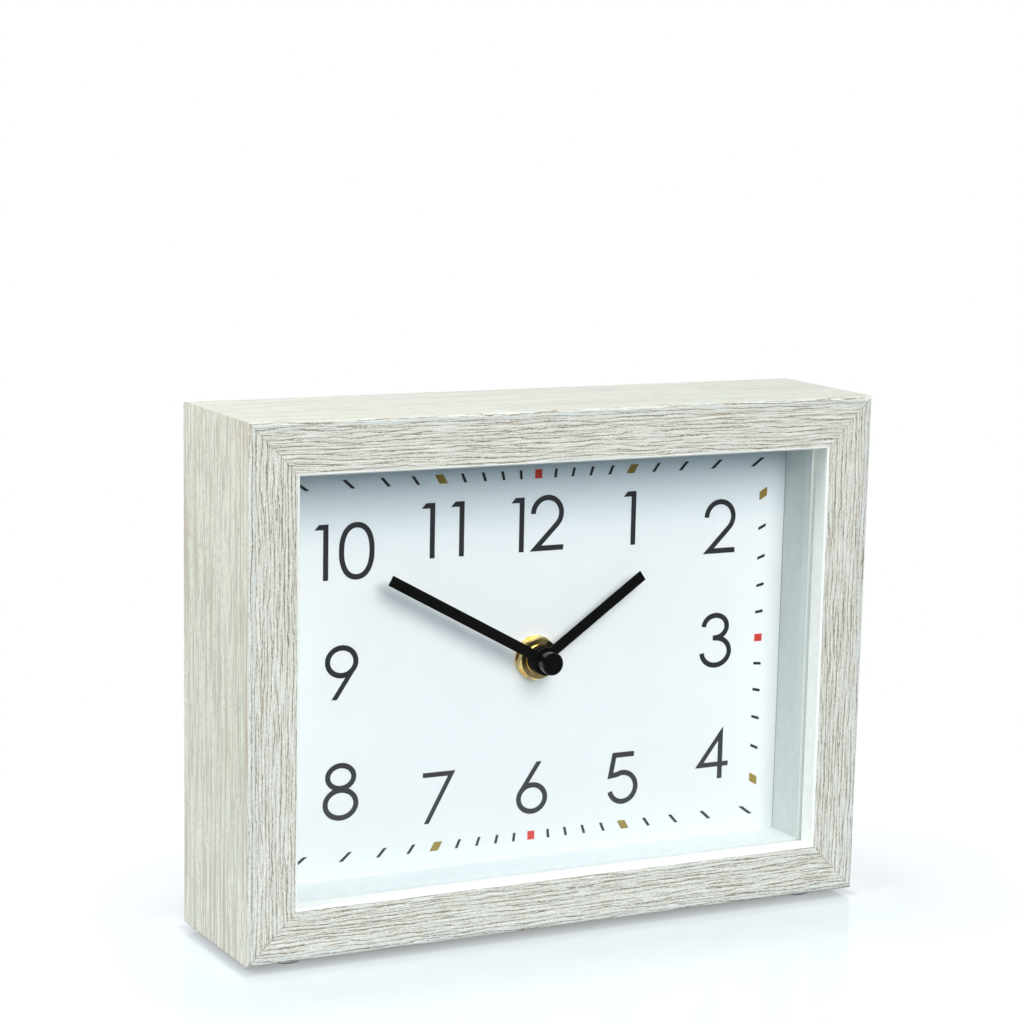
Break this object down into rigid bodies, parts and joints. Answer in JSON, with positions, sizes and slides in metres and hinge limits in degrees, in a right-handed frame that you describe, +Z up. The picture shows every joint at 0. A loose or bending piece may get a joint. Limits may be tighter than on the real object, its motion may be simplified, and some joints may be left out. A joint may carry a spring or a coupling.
{
  "type": "wooden box clock",
  "caption": "Deep mitred wooden box clock with a glazed white dial, slim plain numerals, black bar hands and a battery quartz movement behind a cut-out back board.",
  "frame": {"origin": "on the surface the clock stands on, under the middle of the case", "axes": "+Z up, the dial faces -Y, +X to the right seen from the front"},
  "size_m": [0.184, 0.045, 0.1417],
  "materials": {
    "pale_wood": "matt whitewashed grey-beige oak foil",
    "white_trim": "satin white",
    "clear_glass": "clear float glass",
    "dial_paper": "matt white printed card",
    "charcoal_ink": "matt charcoal print",
    "red_ink": "matt red print",
    "gold_ink": "dull gold print",
    "fibreboard": "raw fibreboard",
    "steel": "plain steel",
    "grey_rubber": "soft matt pad",
    "black_hands": "satin black",
    "black_gloss": "gloss black",
    "brass": "bright brass",
    "black_rubber": "matt black",
    "black_shell": "fine matt black",
    "white_nylon": "natural white nylon",
    "magnet_grey": "dark moulded magnet",
    "copper_wire": "enamelled copper wire",
    "green_board": "green solder mask",
    "battery_label": "plain dark grey sleeve"
  },
  "bodies": {
    "case": {"top_rail": "pale_wood", "bottom_rail": "pale_wood", "left_stile": "pale_wood", "right_stile": "pale_wood", "top_sight_strip": "white_trim", "bottom_sight_strip": "white_trim", "left_sight_strip": "white_trim", "right_sight_strip": "white_trim", "corner_wedges": "steel", "glass": "clear_glass", "top_spacer": "white_trim", "bottom_spacer": "white_trim", "left_spacer": "white_trim", "right_spacer": "white_trim", "dial_sheet": "dial_paper", "dial_numerals": "charcoal_ink", "minute_marks": "charcoal_ink", "quarter_marks": "red_ink", "hour_marks": "gold_ink", "dial_board": "fibreboard", "board_points": "steel", "back_board": "fibreboard", "back_pins": "steel", "foot_pads": "grey_rubber", "hex_nut": "brass", "brass_washer": "brass", "threaded_bush": "brass", "rubber_washer": "black_rubber", "movement_shell": "black_shell", "movement_cover": "black_shell", "gear_plate": "white_nylon", "stator": "steel", "coil_core": "steel", "coil_bobbin": "white_nylon", "coil_winding": "copper_wire", "circuit_board": "green_board", "crystal": "steel", "chip": "black_gloss", "positive_contact": "steel", "negative_contact": "steel"},
    "minute": {"minute_hand": "black_hands", "minute_collet": "black_hands", "cap_nut": "black_gloss", "minute_arbor": "steel"},
    "hour": {"hour_hand": "black_hands", "hour_collet": "black_hands", "hour_wheel": "white_nylon"},
    "setting": {"minute_wheel": "white_nylon", "setting_knob": "black_shell"},
    "centre": {"centre_wheel": "white_nylon"},
    "third": {"third_wheel": "white_nylon"},
    "seconds": {"seconds_wheel": "white_nylon"},
    "fifth": {"fifth_wheel": "white_nylon"},
    "rotor": {"rotor": "magnet_grey"},
    "battery": {"battery": "battery_label"}
  },
  "joints": [
    {"name": "minute_turn", "type": "hinge", "parent": "case", "child": "minute", "pos_m": [0, 0, 0.0717], "axis": [0, 1, 0], "continuous": true},
    {"name": "hour_turn", "type": "hinge", "parent": "case", "child": "hour", "pos_m": [0, 0, 0.0717], "axis": [0, 1, 0], "continuous": true},
    {"name": "setting_turn", "type": "hinge", "parent": "case", "child": "setting", "pos_m": [0.012, 0, 0.0717], "axis": [0, 1, 0], "continuous": true},
    {"name": "fifth_turn", "type": "hinge", "parent": "case", "child": "fifth", "pos_m": [0.00929, 0, 0.08632], "axis": [0, 1, 0], "continuous": true},
    {"name": "rotor_turn", "type": "hinge", "parent": "case", "child": "rotor", "pos_m": [0.01587, 0, 0.08392], "axis": [0, 1, 0], "continuous": true},
    {"name": "seconds_turn", "type": "hinge", "parent": "case", "child": "seconds", "pos_m": [0.00179, 0, 0.08632], "axis": [0, 1, 0], "continuous": true},
    {"name": "third_turn", "type": "hinge", "parent": "case", "child": "third", "pos_m": [-0.0051, 0, 0.08053], "axis": [0, 1, 0], "continuous": true},
    {"name": "centre_turn", "type": "hinge", "parent": "case", "child": "centre", "pos_m": [0, 0, 0.0717], "axis": [0, 1, 0], "continuous": true},
    {"name": "battery_slide", "type": "slide", "parent": "case", "child": "battery", "axis": [0, 1, 0], "range_m": [0, 0.02]}
  ],
  "couplings": [
    {"joint": "hour_turn", "follows": "minute_turn", "ratio": 0.083333},
    {"joint": "setting_turn", "follows": "minute_turn", "ratio": -0.33333},
    {"joint": "rotor_turn", "follows": "fifth_turn", "ratio": -6},
    {"joint": "seconds_turn", "follows": "fifth_turn", "ratio": -0.2},
    {"joint": "third_turn", "follows": "fifth_turn", "ratio": 0.025},
    {"joint": "centre_turn", "follows": "fifth_turn", "ratio": -0.0033333}
  ]
}
